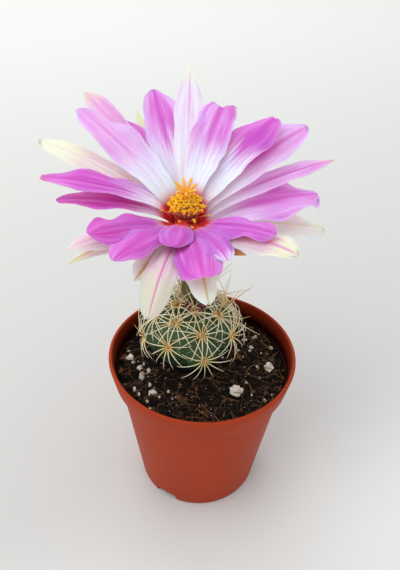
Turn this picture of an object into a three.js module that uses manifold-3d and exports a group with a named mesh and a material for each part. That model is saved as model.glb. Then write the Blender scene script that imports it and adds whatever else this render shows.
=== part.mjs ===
// A small round cactus in flower, in a thin plastic nursery pot. Millimetres, +Z up.
// The origin is on the pot's axis at foot level, and the plant is seen from the -Y side.
import * as THREE from "three";
import { mergeVertices } from "three/addons/utils/BufferGeometryUtils.js";
import Module from "manifold-3d";

const wasm = await Module();
wasm.setup();

// ---- driving dimensions ----
const fit_gap = 0.3; // clear space between any two pieces that touch in the real plant

// pot: a tapered cup with a wider collar under its rim
const pot_height = 50;
const pot_wall = 0.9;
const rim_radius = 27.5;
const foot_radius = 18.7;
const collar_height = 8;
const collar_step = 1.7; // how far the collar stands out past the wall
const collar_flare = 1.2; // how much wider the collar is at the rim than at its foot
const lip_radius = 0.6; // rounded edge of the rim
const pot_floor = 1.2;
const pot_segments = 48;

// three drain channels across the foot, each with a raised roof and a hole
const channel_azimuths = [-120, 0, 120];
const channel_width = 7;
const channel_height = 1.7;
const channel_length = 6.7; // inwards from the foot's edge
const drain_radius = 1.9;
const drain_inset = 3.7; // from the foot's edge to the hole's middle

// potting mix
const soil_depth_below_rim = 5.5;
const soil_ripple = 0.35;

// stem: a flattened globe with a low knob (tubercle) under each spine cluster
const stem_place = [-3.7, 5.2]; // from the pot's axis
const stem_rise = 7.5; // middle of the globe above the mix
const stem_half_width = 12.5;
const stem_half_height = 10.6;
const knob_height = 1.5;
const knob_angle = 0.3; // radians from a knob's middle to where it has mostly faded
const crown_dip = 1.5; // hollow at the crown where the flower leaves the stem
const crown_angle = 0.36;
const root_radius = 4.6;
const root_length = 22;

// spine clusters (areoles): on one set of ribs at three levels, between them at two
const rib_turn = 90; // between ribs of one set
const first_rib = -72;
const rib_levels = [18, 47, 81]; // degrees down from the crown
const between_levels = [36, 66];
const areole_radius = 1.1;
const areole_thickness = 1.0;
const spine_length = 7.5;
const spine_radius = 0.28;
const radial_spines = 8;
const radial_lift = 24; // degrees above the stem's surface
const central_spines = 1;
const central_lift = 70;

// flower: its own frame stands on the throat, tilted towards -Y
const throat_lean = [-2.2, -0.2]; // of the throat from the crown
const throat_rise = 31; // of the throat above the crown
const flower_tilt = 15;
const neck_length = 13; // straight stretch of tube under the throat
const ovary_radius = 2.7;
const neck_radius = 2.2;
const throat_radius = 3.2;
const tube_wall = 0.5;
const throat_depth = 8;
const tube_top_drop = 1; // the tube's rim lies this far under the throat point

// petals stand in nested rings: ring 0 is the innermost and highest
const petal_thickness = 0.5;
const petal_seat = 0.35; // from a petal's middle surface to the tube side of its foot
const ring_step = 2.25;
const first_ring_drop = 0.7;
const inner_throat_angle = 64; // how steeply an innermost petal leaves the tube
const ring_angle_step = 4;
const petal_foot_width = 0.9;
const petal_tip_width = 0.5;
const petal_channel = 0.12; // how far the edges curl up, as a share of the half width

// name, ring, azimuth, length, width, blade angle above level, droop of the tip
const petals = [
  ["petal_back_tall", 1, 91, 43, 7, 19, 6],
  ["petal_back_left", 2, 106, 39, 8, 18, 7],
  ["sepal_back_left", 5, 112, 44, 6, 9, 7],
  ["petal_folded_tip", 4, 121, 37, 7.5, 9, 8],
  ["petal_left_long_upper", 3, 130, 49, 7.5, 13, 9],
  ["petal_left_frilled", 1, 139, 40, 9, 16, 11],
  ["petal_left_cream", 3, 152, 47, 6.5, 7, 13],
  ["petal_left", 1, 171, 37, 6.5, 7, 16],
  ["petal_left_low", 2, 173, 33, 6, 1, 18],
  ["petal_left_front_pale", 3, 216, 33, 7, 30, 34],
  ["sepal_left_front", 4, 217, 33, 5, 25, 35],
  ["petal_left_front", 1, 221, 29, 8, 37, 36],
  ["petal_front_left", 0, 246, 31, 8.5, 39, 49],
  ["sepal_front_left", 4, 245, 27, 6, 33, 27],
  ["petal_front_short", 1, 263, 22, 7.5, 41, 52],
  ["petal_front_hanging", 3, 261, 39, 9.5, 33, 55],
  ["petal_front", 0, 281, 31, 9, 41, 56],
  ["sepal_front", 4, 282, 33, 6, 39, 56],
  ["petal_front_right_short", 1, 296, 25, 7, 35, 52],
  ["sepal_front_right", 4, 310, 25, 4, 30, -3],
  ["petal_right_front", 1, 326, 28, 7.5, 35, 40],
  ["petal_right_front_cream", 3, 324, 34, 6.5, 30, 26],
  ["petal_right_cream", 5, 13, 39, 9, -13, 15],
  ["petal_right_toothed", 4, 21, 37, 9.5, -2, 14],
  ["petal_right_narrow", 3, 30, 45, 5.5, 3, 11],
  ["petal_right_back", 2, 41, 42, 8, 11, 10],
  ["petal_back_right", 1, 50, 35, 8, 16, 8],
  ["petal_back_right_low", 3, 60, 32, 6, 2, 7],
  ["petal_back_notched", 0, 71, 34, 8, 18, 6],
];

// stamens: filaments from a ring in the throat to a low dome of anthers
const stamen_rings = [
  // count, radius and height of the anthers above the throat
  [6, 1.6, 4.3],
  [9, 2.9, 3.5],
  [11, 3.9, 2.4],
];
const anther_radius = 0.42;
const filament_radius = 0.16;
const filament_ring_depth = 2.2;
const filament_ring_half = 0.35; // half of the ring's wall and of its height

// pistil: a style with stigma lobes spread like a small star
const style_radius = 0.45;
const style_top = 5.2;
const stigma_lobes = 9;
const lobe_length = 3.3;
const lobe_radius = 0.3;
const lobe_lift = 38;

// grains of perlite on the mix: azimuth, distance in from the wall, radius, length for its radius
const grains = [
  [-47, 10.7, 2.0, 1.1],
  [-2, 5.5, 1.2, 1.7],
  [178, 3.9, 1.1, 1.2],
  [200, 7.2, 1.2, 1.3],
];
const grain_height = 0.8; // share of a grain's radius

// ---- colours ----
const terracotta = finish("#a0422d", 0.55);
const dark_mix = finish("#2a1a12", 1);
const stem_green = finish("#2f5a34", 0.6);
const tube_green = finish("#7c7a3a", 0.7);
const spine_ivory = finish("#e6d7a4", 0.6);
const petal_pink = finish("#d977d6", 0.6);
const sepal_cream = finish("#e9e2c8", 0.6);
const anther_yellow = finish("#eeb111", 0.7);
const stigma_yellow = finish("#e6b23a", 0.6);
const perlite_white = finish("#e6ddd0", 0.9);

function finish(colour, roughness) {
  return { color: colour, roughness, metalness: 0 };
}

// ---- helpers ----
const rad = THREE.MathUtils.degToRad;

// One named piece with a material of its own.
function piece(name, geometry, look) {
  const mesh = new THREE.Mesh(geometry, new THREE.MeshStandardMaterial(look));
  mesh.name = name;
  return mesh;
}

// A closed geometry as a solid that can be joined and cut.
function solid(geometry) {
  const bare = geometry.clone();
  bare.deleteAttribute("normal");
  bare.deleteAttribute("uv");
  const merged = mergeVertices(bare, 1e-5);
  return new wasm.Manifold(
    new wasm.Mesh({
      numProp: 3,
      vertProperties: merged.attributes.position.array,
      triVerts: new Uint32Array(merged.index.array),
    }),
  );
}

// A solid's surface as a geometry again.
function surface(body) {
  const mesh = body.getMesh();
  const geometry = new THREE.BufferGeometry();
  geometry.setAttribute("position", new THREE.BufferAttribute(mesh.vertProperties, 3));
  geometry.setIndex(new THREE.BufferAttribute(mesh.triVerts, 1));
  geometry.computeVertexNormals();
  return geometry;
}

// Moves every vertex of a geometry to place(x, y, z).
function reshape(geometry, place) {
  const at = geometry.attributes.position;
  for (let i = 0; i < at.count; i++) {
    const p = place(at.getX(i), at.getY(i), at.getZ(i));
    at.setXYZ(i, p.x, p.y, p.z);
  }
  return geometry;
}

// A turned piece about +Z from points (radius, height) listed from the bottom outwards.
function turned(points, segments) {
  const profile = points.map(([r, z]) => new THREE.Vector2(r, z));
  return new THREE.LatheGeometry(profile, segments).rotateX(Math.PI / 2);
}

// A tapered rod through two or more points.
function rod(points, start_radius, end_radius, sides) {
  const last = points.length - 1;
  const geometry = new THREE.CylinderGeometry(1, 1, 1, sides, last);
  const whole = points[last].clone().sub(points[0]).normalize();
  const turn = new THREE.Quaternion().setFromUnitVectors(new THREE.Vector3(0, 1, 0), whole);
  return reshape(geometry, (x, y, z) => {
    const share = THREE.MathUtils.clamp(y + 0.5, 0, 1);
    const radius = THREE.MathUtils.lerp(start_radius, end_radius, share);
    const offset = new THREE.Vector3(x * radius, 0, z * radius).applyQuaternion(turn);
    return points[Math.round(share * last)].clone().add(offset);
  });
}

// ---- pot ----
const shoulder_height = pot_height - collar_height;
const shoulder_radius = rim_radius - collar_flare - collar_step; // outside, under the collar
const rim_outside = rim_radius - lip_radius; // radius of the lip's centre line
const shoulder_slant = 0.6;

// Radius of the pot's outside wall below the collar.
const wall_radius = (z) =>
  foot_radius + ((shoulder_radius - foot_radius) * z) / shoulder_height;

// Radius of the pot's inside above its floor; offset moves it inwards.
function inside_radius(z, offset = 0) {
  const collar_foot = shoulder_height + shoulder_slant + pot_wall;
  if (z < collar_foot - shoulder_slant) return wall_radius(z) - pot_wall - offset;
  const share = (z - collar_foot) / (pot_height - lip_radius - collar_foot);
  const low = shoulder_radius + collar_step - pot_wall;
  return low + (rim_outside - lip_radius - low) * share - offset;
}

function pot_geometry() {
  const lip = [];
  for (let turn = 0; turn <= 180; turn += 45) {
    const angle = rad(turn);
    const z = pot_height - lip_radius + lip_radius * Math.sin(angle);
    lip.push([rim_outside + lip_radius * Math.cos(angle), z]);
  }
  const inner_shoulder = shoulder_height + pot_wall;
  const cup = turned(
    [
      [0, 0],
      [foot_radius - 0.5, 0],
      [wall_radius(0.5), 0.5],
      [shoulder_radius, shoulder_height],
      [shoulder_radius + collar_step, shoulder_height + shoulder_slant],
      ...lip,
      [inside_radius(inner_shoulder + shoulder_slant), inner_shoulder + shoulder_slant],
      [wall_radius(inner_shoulder) - pot_wall, inner_shoulder],
      [wall_radius(pot_floor) - pot_wall, pot_floor],
      [0, pot_floor],
    ],
    pot_segments,
  );
  let pot = solid(cup);
  for (const azimuth of channel_azimuths) pot = pot.add(solid(channel_roof(azimuth, 0)));
  for (const azimuth of channel_azimuths) {
    const channel = new THREE.BoxGeometry(foot_radius, channel_width, 2 * channel_height);
    channel.translate(foot_radius * 1.5 - channel_length, 0, 0);
    const drain = new THREE.CylinderGeometry(drain_radius, drain_radius, pot_height, 12);
    drain.rotateX(Math.PI / 2).translate(foot_radius - drain_inset, 0, 0);
    for (const cut of [channel, drain]) pot = pot.subtract(solid(cut.rotateZ(rad(azimuth))));
  }
  return surface(pot);
}

// The raised block over a drain channel, inside the pot; grow enlarges it on every free side.
function channel_roof(azimuth, grow) {
  const top = channel_height + pot_wall + grow;
  const outer = wall_radius(0) - pot_wall / 2;
  const inner = foot_radius - channel_length - pot_wall - grow;
  const width = channel_width + 2 * pot_wall + 2 * grow;
  const block = new THREE.BoxGeometry(outer - inner, width, top - pot_floor / 2);
  block.translate((outer + inner) / 2, 0, (top + pot_floor / 2) / 2);
  return block.rotateZ(rad(azimuth));
}

// ---- stem ----
const soil_top = pot_height - soil_depth_below_rim;
const stem_centre = new THREE.Vector3(...stem_place, soil_top + stem_rise);
const areoles = [];
for (let rib = 0; rib < 360 / rib_turn; rib++) {
  for (const level of rib_levels) areoles.push([first_rib + rib * rib_turn, level]);
  for (const level of between_levels)
    areoles.push([first_rib + (rib + 0.5) * rib_turn, level]);
}

// The unit direction from the stem's centre at an azimuth and an angle down from the crown.
function stem_direction([azimuth, level]) {
  const across = Math.sin(rad(level));
  return new THREE.Vector3(
    across * Math.cos(rad(azimuth)),
    across * Math.sin(rad(azimuth)),
    Math.cos(rad(level)),
  );
}
const areole_directions = areoles.map(stem_direction);

// The point of the stem's skin in a direction, moved outwards by grow.
function stem_point(direction, grow = 0) {
  let raise = grow;
  for (const knob of areole_directions)
    raise += knob_height * Math.exp(-((direction.angleTo(knob) / knob_angle) ** 2));
  const from_crown = Math.acos(THREE.MathUtils.clamp(direction.z, -1, 1));
  raise -= crown_dip * Math.exp(-((from_crown / crown_angle) ** 2));
  const wide = stem_half_width + raise;
  const high = stem_half_height + raise;
  return new THREE.Vector3(direction.x * wide, direction.y * wide, direction.z * high).add(
    stem_centre,
  );
}

// The outward normal of the stem's skin, without its knobs.
function stem_normal(direction) {
  return new THREE.Vector3(
    direction.x / stem_half_width,
    direction.y / stem_half_width,
    direction.z / stem_half_height,
  ).normalize();
}

// The stem with its taproot, enlarged by grow on every side.
function stem_solid(grow) {
  const globe = new THREE.SphereGeometry(1, 36, 20).rotateX(Math.PI / 2);
  reshape(globe, (x, y, z) => stem_point(new THREE.Vector3(x, y, z).normalize(), grow));
  const root_top = stem_centre.z - stem_half_height / 2;
  const root_tip = root_top - root_length - grow;
  const root = turned(
    [
      [0, root_tip],
      [root_radius * 0.15 + grow, root_tip],
      [root_radius * 0.6 + grow, root_tip + root_length * 0.4],
      [root_radius + grow, root_tip + root_length * 0.75],
      [root_radius + grow, root_top],
      [0, root_top],
    ],
    16,
  ).translate(stem_centre.x, stem_centre.y, 0);
  return solid(globe).add(solid(root));
}

// ---- potting mix ----
const soil_height = (x, y) =>
  soil_top + soil_ripple * Math.sin(x * 0.55 + 1) * Math.cos(y * 0.48 - x * 0.15);

function soil_geometry() {
  const bottom = pot_floor + fit_gap;
  const inner_shoulder = shoulder_height + pot_wall;
  const edge = (z) => inside_radius(z, fit_gap);
  const bare = inner_shoulder + shoulder_slant + fit_gap;
  const mix = turned(
    [
      [0, bottom],
      [edge(bottom), bottom],
      [edge(inner_shoulder - fit_gap), inner_shoulder],
      [edge(bare), bare],
      [edge(soil_top), soil_top],
      ...[0.8, 0.6, 0.4, 0.2].map((share) => [edge(soil_top) * share, soil_top]),
      [0, soil_top],
    ],
    40,
  );
  reshape(mix, (x, y, z) => {
    const inside = Math.hypot(x, y) < edge(soil_top) - 0.01;
    const on_top = z > soil_top - 0.01 && inside;
    return { x, y, z: on_top ? soil_height(x, y) : z };
  });
  let body = solid(mix).subtract(stem_solid(fit_gap));
  for (const azimuth of channel_azimuths)
    body = body.subtract(solid(channel_roof(azimuth, fit_gap)));
  return surface(body);
}

// Where a grain's middle lies, just clear of the mix.
function grain_middle([azimuth, inset, radius]) {
  const from_axis = inside_radius(soil_top) - inset;
  return new THREE.Vector3(
    from_axis * Math.cos(rad(azimuth)),
    from_axis * Math.sin(rad(azimuth)),
    soil_top + soil_ripple + fit_gap + radius * grain_height,
  );
}

function grain_geometry(grain) {
  const [azimuth, , radius, stretch] = grain;
  const geometry = new THREE.IcosahedronGeometry(radius, 1);
  geometry.scale(stretch, 0.9, grain_height).rotateZ(rad(azimuth) + 1);
  return geometry.translate(...grain_middle(grain).toArray());
}

// ---- flower tube ----
const flower_axis = new THREE.Vector3(0, -Math.sin(rad(flower_tilt)), Math.cos(rad(flower_tilt)));
const foot_angle = THREE.MathUtils.radToDeg(Math.asin(ovary_radius / stem_half_width));
const skin_heights = areoles.map(([azimuth]) => stem_point(stem_direction([azimuth, foot_angle])).z);
// The tube's foot stands clear of the highest skin under it.
const crown = stem_centre.clone().setZ(Math.max(...skin_heights) + fit_gap);
const throat = crown.clone().add(new THREE.Vector3(...throat_lean, throat_rise));
const tube_top = throat.clone().addScaledVector(flower_axis, -tube_top_drop);
const neck_foot = throat.clone().addScaledVector(flower_axis, -neck_length);
const tube_line = new THREE.CurvePath();
tube_line.add(
  new THREE.CubicBezierCurve3(
    crown,
    crown.clone().add(new THREE.Vector3(0, 0, neck_length / 2)),
    neck_foot.clone().addScaledVector(flower_axis, -neck_length / 2),
    neck_foot,
  ),
);
tube_line.add(new THREE.LineCurve3(neck_foot, tube_top));
const tube_length = tube_line.getLength();

// The tube's outside radius at a depth under the throat point: a funnel over a slim neck.
function tube_radius(depth) {
  const funnel = THREE.MathUtils.clamp(
    (neck_length - depth) / (neck_length - tube_top_drop), 0, 1);
  const from_crown = tube_length + tube_top_drop - depth;
  const swell = (ovary_radius - neck_radius) * Math.exp(-(((from_crown - 4) / 4) ** 2));
  return neck_radius + (throat_radius - neck_radius) * funnel + swell;
}

function tube_geometry() {
  const outside = [];
  const steps = 12;
  for (let i = 0; i <= steps; i++) {
    const at = (tube_length * i) / steps;
    const foot = i === 0 ? 0.7 : 1; // rounded where it leaves the crown
    outside.push([tube_radius(tube_length + tube_top_drop - at) * foot, at]);
  }
  const cup_floor = tube_length - throat_depth;
  const profile = [
    [0, 0],
    ...outside,
    [throat_radius - tube_wall, tube_length],
    [neck_radius - tube_wall, cup_floor],
    [0, cup_floor],
  ];
  const tube = turned(profile, 16);
  return reshape(tube, (x, y, z) => {
    const share = THREE.MathUtils.clamp(z / tube_length, 0, 1);
    const along = tube_line.getTangentAt(share);
    const right = new THREE.Vector3(1, 0, 0).addScaledVector(along, -along.x).normalize();
    const back = new THREE.Vector3().crossVectors(along, right);
    return tube_line.getPointAt(share).addScaledVector(right, x).addScaledVector(back, y);
  });
}

// ---- petals, in the flower's frame ----
function petal_geometry([, ring, azimuth, length, width, blade, droop]) {
  const depth = first_ring_drop + ring * ring_step;
  const foot_radius_here = tube_radius(depth) + fit_gap + petal_seat;
  const steep = inner_throat_angle - ring_angle_step * ring;
  const flare = 0.16 + 0.012 * ring; // share of the length in which a petal opens out
  const around = rad(azimuth);
  const outwards = new THREE.Vector3(Math.cos(around), Math.sin(around), 0);
  const across = new THREE.Vector3(Math.sin(around), -Math.cos(around), 0);
  const up = new THREE.Vector3(0, 0, 1);
  const angle = (s) =>
    rad(blade + (steep - blade) * Math.exp(-s / flare) - droop * s * s);

  // The middle line, summed in short steps from the foot.
  const stations = 9;
  const fine = 4 * stations;
  const line = [outwards.clone().multiplyScalar(foot_radius_here).setZ(-depth)];
  for (let i = 1; i <= fine; i++) {
    const e = angle((i - 0.5) / fine);
    const step = length / fine;
    const next = line[i - 1].clone().addScaledVector(outwards, step * Math.cos(e));
    line.push(next.addScaledVector(up, step * Math.sin(e)));
  }
  const half_width = (s) => {
    const full = (width / 2) * Math.sin(Math.PI * s ** 1.45) ** 0.9;
    const least = s < 0.5 ? petal_foot_width / 2 : petal_tip_width / 2;
    return Math.max(least, full);
  };
  const blade_box = new THREE.BoxGeometry(2, 1, petal_thickness, 2, stations, 1);
  return reshape(blade_box, (u, y, t) => {
    const s = THREE.MathUtils.clamp(y + 0.5, 0, 1);
    const e = angle(s);
    const half = half_width(s);
    const normal = outwards.clone().multiplyScalar(-Math.sin(e)).setZ(Math.cos(e));
    const lift = t + petal_channel * half * u * u;
    const middle = line[Math.round(s * fine)].clone();
    return middle.addScaledVector(across, u * half).addScaledVector(normal, lift);
  });
}

// ---- stamens and pistil, in the flower's frame ----
function stamens_geometry() {
  const floor = -filament_ring_depth;
  const ring_radius = style_radius + fit_gap + filament_ring_half;
  const rim_space = throat_radius - tube_wall - fit_gap - filament_radius;
  const widest = stamen_rings.at(-1)[1];
  const corner = (side, level) => [
    ring_radius + side * filament_ring_half,
    floor + level * filament_ring_half,
  ];
  const outline = [corner(-1, -1), corner(1, -1), corner(1, 1), corner(-1, 1), corner(-1, -1)];
  let body = solid(turned(outline, 18));
  stamen_rings.forEach(([count, radius, height], ring) => {
    for (let i = 0; i < count; i++) {
      const around = ((i + ring / 2) / count) * 2 * Math.PI;
      const at = (distance, level) =>
        new THREE.Vector3(distance * Math.cos(around), distance * Math.sin(around), level);
      const rim_radius_here = THREE.MathUtils.lerp(ring_radius, rim_space, radius / widest);
      const path = [at(ring_radius, floor), at(rim_radius_here, -tube_top_drop), at(radius, height)];
      const anther = new THREE.OctahedronGeometry(anther_radius, 0);
      anther.scale(1, 1, 1.4).rotateZ(around).translate(...path.at(-1).toArray());
      body = body.add(solid(rod(path, filament_radius, filament_radius, 3)));
      body = body.add(solid(anther));
    }
  });
  return surface(body);
}

function pistil_geometry() {
  const foot = new THREE.Vector3(0, 0, fit_gap - tube_top_drop - throat_depth);
  const top = new THREE.Vector3(0, 0, style_top);
  let body = solid(rod([foot, top], style_radius, style_radius, 8));
  for (let i = 0; i < stigma_lobes; i++) {
    const around = ((i + 0.5) / stigma_lobes) * 2 * Math.PI;
    const reach = lobe_length * Math.cos(rad(lobe_lift));
    const tip = new THREE.Vector3(
      reach * Math.cos(around),
      reach * Math.sin(around),
      style_top + lobe_length * Math.sin(rad(lobe_lift)),
    );
    const start = top.clone().setZ(style_top - style_radius);
    body = body.add(solid(rod([start, tip], lobe_radius, lobe_radius * 0.8, 6)));
  }
  return surface(body);
}

// ---- spine clusters ----
// How far a spine runs before it nears another cluster's share of space, the tube, the mix,
// a grain or the pot.
function free_reach(start, direction, own) {
  const own_middle = stem_point(areole_directions[own]);
  const step = 0.1;
  const clear = fit_gap / 2 + spine_radius;
  let reach = 0;
  while (reach < spine_length) {
    const at = start.clone().addScaledVector(direction, reach + step);
    for (let other = 0; other < areoles.length; other++) {
      if (other === own) continue;
      const towards = stem_point(areole_directions[other]).sub(own_middle);
      const half_way = towards.length() / 2;
      if (at.clone().sub(own_middle).dot(towards.normalize()) > half_way - clear)
        return reach;
    }
    const share = THREE.MathUtils.clamp((at.z - crown.z) / (tube_top.z - crown.z), 0, 1);
    const tube_middle = tube_line.getPoint(share);
    if (at.distanceTo(tube_middle) < ovary_radius + 2 * clear) return reach;
    if (at.z < soil_top + soil_ripple + 2 * clear) return reach;
    if (at.z < pot_height + clear && Math.hypot(at.x, at.y) > inside_radius(at.z, 2 * clear))
      return reach;
    for (const grain of grains)
      if (at.distanceTo(grain_middle(grain)) < grain[2] * grain[3] + 2 * clear) return reach;
    reach += step;
  }
  return reach;
}

function spine_cluster_geometry(own) {
  const direction = areole_directions[own];
  const normal = stem_normal(direction);
  const seat = stem_point(direction).addScaledVector(normal, fit_gap + areole_thickness / 2);
  const upward = new THREE.Vector3(0, 0, 1).addScaledVector(normal, -normal.z).normalize();
  const sideways = new THREE.Vector3().crossVectors(normal, upward);
  const face = new THREE.Quaternion().setFromUnitVectors(new THREE.Vector3(0, 0, 1), normal);
  const pad = new THREE.SphereGeometry(1, 8, 4).rotateX(Math.PI / 2);
  pad.scale(areole_radius, areole_radius, areole_thickness / 2);
  let body = solid(pad.applyQuaternion(face).translate(...seat.toArray()));

  const grow_spine = (around, lift) => {
    const flat = upward.clone().multiplyScalar(Math.cos(around));
    flat.addScaledVector(sideways, Math.sin(around));
    const course = flat.multiplyScalar(Math.cos(lift)).addScaledVector(normal, Math.sin(lift));
    const reach = free_reach(seat, course, own);
    if (reach < areole_radius) return;
    const start = seat.clone().addScaledVector(course, areole_thickness / 2 - spine_radius);
    const tip = seat.clone().addScaledVector(course, reach);
    body = body.add(solid(rod([start, tip], spine_radius, spine_radius * 0.3, 3)));
  };
  for (let i = 0; i < radial_spines; i++)
    grow_spine(((i + 0.5) / radial_spines) * 2 * Math.PI, rad(radial_lift));
  for (let i = 0; i < central_spines; i++)
    grow_spine((i / central_spines) * 2 * Math.PI, rad(central_lift));
  return surface(body);
}

// ---- assembly ----
const potted_cactus = new THREE.Group();
potted_cactus.add(piece("pot", pot_geometry(), terracotta));
potted_cactus.add(piece("soil", soil_geometry(), dark_mix));
grains.forEach((grain, i) => {
  potted_cactus.add(piece("perlite_grain_" + (i + 1), grain_geometry(grain), perlite_white));
});
potted_cactus.add(piece("cactus_stem", surface(stem_solid(0)), stem_green));
areoles.forEach((_, i) => {
  const name = "spine_cluster_" + String(i + 1).padStart(2, "0");
  potted_cactus.add(piece(name, spine_cluster_geometry(i), spine_ivory));
});
potted_cactus.add(piece("flower_tube", tube_geometry(), tube_green));

const flower = new THREE.Group();
flower.position.copy(throat);
flower.rotation.x = rad(flower_tilt);
for (const petal of petals) {
  const look = petal[0].startsWith("sepal") ? sepal_cream : petal_pink;
  flower.add(piece(petal[0], petal_geometry(petal), look));
}
flower.add(piece("stamens", stamens_geometry(), anther_yellow));
flower.add(piece("pistil", pistil_geometry(), stigma_yellow));
potted_cactus.add(flower);

export default potted_cactus;
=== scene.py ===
"""A small round cactus in flower, in a plastic nursery pot: the looks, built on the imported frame."""

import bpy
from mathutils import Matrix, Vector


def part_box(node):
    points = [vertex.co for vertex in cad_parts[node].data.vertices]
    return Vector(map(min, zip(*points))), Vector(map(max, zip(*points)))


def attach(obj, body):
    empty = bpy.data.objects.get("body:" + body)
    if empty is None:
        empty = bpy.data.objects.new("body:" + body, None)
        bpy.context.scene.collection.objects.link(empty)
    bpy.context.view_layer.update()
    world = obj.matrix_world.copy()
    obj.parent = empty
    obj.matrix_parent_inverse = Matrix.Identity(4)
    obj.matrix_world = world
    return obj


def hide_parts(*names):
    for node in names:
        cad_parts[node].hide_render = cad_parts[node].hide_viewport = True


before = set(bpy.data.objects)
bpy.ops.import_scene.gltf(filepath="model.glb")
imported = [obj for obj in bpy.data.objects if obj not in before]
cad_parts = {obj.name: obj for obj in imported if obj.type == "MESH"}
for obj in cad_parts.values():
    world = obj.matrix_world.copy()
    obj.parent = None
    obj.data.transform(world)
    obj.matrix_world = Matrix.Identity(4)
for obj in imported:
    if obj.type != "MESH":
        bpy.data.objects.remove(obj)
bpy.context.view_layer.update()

import math
import random

import bpy
import numpy as np
from mathutils import Matrix, Vector, noise

MM = 0.001
BODY = "root"
GOLDEN_ANGLE = math.radians(137.5)
draw = random.Random(11)

# ---- sizes shared with the frame, in millimetres and degrees ----
POT_WALL = 0.9
COLLAR_HEIGHT = 8
COLLAR_STEP = 1.7
COLLAR_FLARE = 1.2
LIP_RADIUS = 0.6
FOOT_RADIUS = 18.7
POT_FLOOR = 1.2
CHANNEL_AZIMUTHS = (-120, 0, 120)
CHANNEL_WIDTH = 7
CHANNEL_HEIGHT = 1.7
CHANNEL_LENGTH = 6.7
DRAIN_RADIUS = 1.9
DRAIN_INSET = 3.7
FIT_GAP = 0.3
SOIL_DEPTH_BELOW_RIM = 5.5
STEM_PLACE = (-3.7, 5.2)
STEM_RISE = 7.5
STEM_HALF_WIDTH = 12.5
STEM_HALF_HEIGHT = 10.6
KNOB_HEIGHT = 1.5
KNOB_ANGLE = 0.3
FIRST_RIB = -72
RIB_TURN = 90
RIB_LEVELS = (18, 47, 81)
BETWEEN_LEVELS = (36, 66)
THROAT_LEAN = (-2.2, -0.2)
THROAT_RISE = 31
FLOWER_TILT = 15
NECK_LENGTH = 13
OVARY_RADIUS = 2.7
NECK_RADIUS = 2.2
THROAT_RADIUS = 3.2
TUBE_WALL = 0.5
THROAT_DEPTH = 8
TUBE_TOP_DROP = 1
PETAL_SEAT = 0.35
RING_STEP = 2.25
FIRST_RING_DROP = 0.7
INNER_THROAT_ANGLE = 64
RING_ANGLE_STEP = 4
STYLE_TOP = 6.0

# ---- sizes that only Blender draws, in millimetres ----
LEDGE_RISE = 0.6  # slant of the ledge inside the collar
STEP_RISE = 2.2  # height of the rounded step outside the collar
NOTCH_RISE = 0.9  # how far a channel's notch in the wall rises above the channel
TUBE_LENGTH = 31.0
STEM_CLEARANCE = 10.2  # nothing lies on the mix nearer to the stem's middle than this
BARK_CHIPS = 420
FIBRES = 330
SMALL_CRUMBS, LEFT_CRUMBS, OTHER_CRUMBS = 120, 13, 6
LEFT_TRIES = 130  # places drawn, of which those on the left are kept
LEFT_EDGE, LEFT_BACK = -12, 9  # greatest x and y of the left
SPINE_RADIUS = 0.19
LARGE_LEVELS = 60  # clusters nearer to the crown than this, in degrees, hold more spines
TUBE_SCALES = 30
ANTHERS = 270
STIGMA_LOBES = 8
PETAL_ROWS, PETAL_COLUMNS = 60, 27
PETAL_THICKNESS = 0.26
FULLNESS = 1.14  # how much wider a blade is drawn than in the frame, unless DRAWN says
RED_THROAT = 6.5  # about how far from the flower's axis a petal stays scarlet

# ---- camera and light: degrees, metres and watts ----
CAMERA_PLACE = (0, -0.1283, 0.1737)
CAMERA_PITCH, CAMERA_ROLL, CAMERA_YAW = 37.73, 2.23, -0.66
CAMERA_LENS, SENSOR_WIDTH = 37.9, 36
CLIP_START = 0.01
FLOOR_HALF = 4.0
SKY_COLOUR, SKY_STRENGTH = (0.98, 0.99, 1.0, 1), 0.83
# name, place, aim, size, power, colour
LIGHTS = (
    ("key", (-0.5, -0.3, 0.95), (0, 0, 0.05), 1.0, 4.3, (1.0, 0.995, 0.985)),
    ("back", (-0.3, 1.0, 0.9), (-0.1, 0.5, 0.0), 1.0, 4.0, (1.0, 1.0, 1.0)),
)


# ---- meshes ----
class Shape:
    """Points and faces gathered for one mesh, with numbers at each point for its material."""

    def __init__(self):
        self.points, self.faces, self.numbers, self.count = [], [], {}, 0

    def add(self, points, faces, **numbers):
        points = np.asarray(points, float).reshape(-1, 3)
        self.points.append(points)
        self.faces += [[i + self.count for i in face] for face in faces]
        for name, values in numbers.items():
            filled = np.broadcast_to(np.asarray(values, float).ravel(), (len(points),))
            self.numbers.setdefault(name, []).append(filled)
        self.count += len(points)
        return self


def grid_faces(rows, columns, wrap=False, start=0, flip=False):
    """Quads between the points of a rows by columns grid; wrap joins the last column to the first."""
    faces = []
    for r in range(rows - 1):
        for c in range(columns if wrap else columns - 1):
            d = (c + 1) % columns
            quad = [r * columns + c, r * columns + d, (r + 1) * columns + d, (r + 1) * columns + c]
            faces.append([start + i for i in (reversed(quad) if flip else quad)])
    return faces


def rim_faces(rows, columns):
    """Quads that join the borders of a grid and of a second grid that follows it."""
    border = list(range(columns))
    border += [r * columns + columns - 1 for r in range(1, rows)]
    border += [(rows - 1) * columns + c for c in range(columns - 2, -1, -1)]
    border += [r * columns for r in range(rows - 2, 0, -1)]
    after = rows * columns
    return [[a, b, after + b, after + a] for a, b in zip(border, border[1:] + border[:1])]


def placed(name, data):
    """An object of the scene that holds some data."""
    made = bpy.data.objects.new(name, data)
    bpy.context.scene.collection.objects.link(made)
    return made


def mesh_object(name, points, faces):
    """A mesh object of points given in millimetres."""
    mesh = bpy.data.meshes.new(name)
    mesh.from_pydata((np.asarray(points, float) * MM).tolist(), [], faces)
    return placed(name, mesh)


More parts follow.
